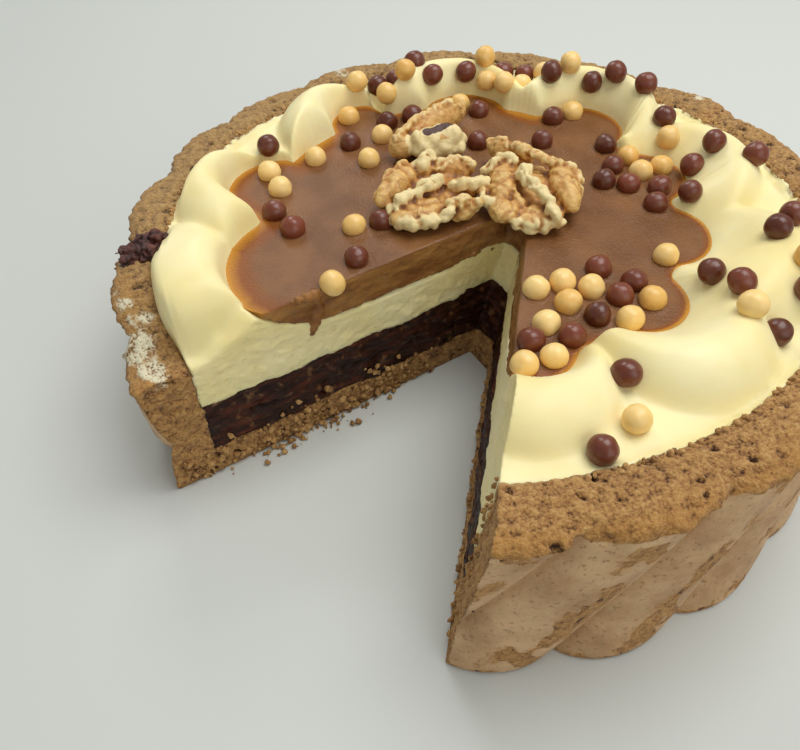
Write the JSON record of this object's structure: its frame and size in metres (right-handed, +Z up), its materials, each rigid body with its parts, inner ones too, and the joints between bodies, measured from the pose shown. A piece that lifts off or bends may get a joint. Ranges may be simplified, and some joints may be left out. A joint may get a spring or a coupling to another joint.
{
  "type": "spice cake",
  "caption": "Round layered spice cake in a fluted sponge case with a slice taken out: dark filling, cream dollops, caramel pool, walnut halves and chocolate pearls on top.",
  "frame": {"origin": "the round cake's own axis at the height of its foot; the axis itself lies in the slice that was taken out", "axes": "+Z up along the cake's axis, +Y away from the camera of the picture, +X to the picture's right; the missing slice points to -Y and a little to -X"},
  "size_m": [0.2248, 0.225, 0.0769],
  "materials": {
    "sponge": "baked sponge, rough brown crumb with a pale floury skin on the outer wall",
    "dark_filling": "moist dark cherry and chocolate filling, cut face with smears",
    "vanilla_cream": "pale yellow whipped vanilla cream, satin",
    "caramel": "set brown caramel, satin",
    "walnut": "dry walnut kernel with tan skin and pale broken edges"
  },
  "bodies": {
    "root": {"sponge_case": "sponge", "filling": "dark_filling", "cream": "vanilla_cream", "caramel": "caramel", "walnut_left": "walnut", "walnut_right": "walnut", "walnut_back": "walnut"}
  },
  "joints": []
}
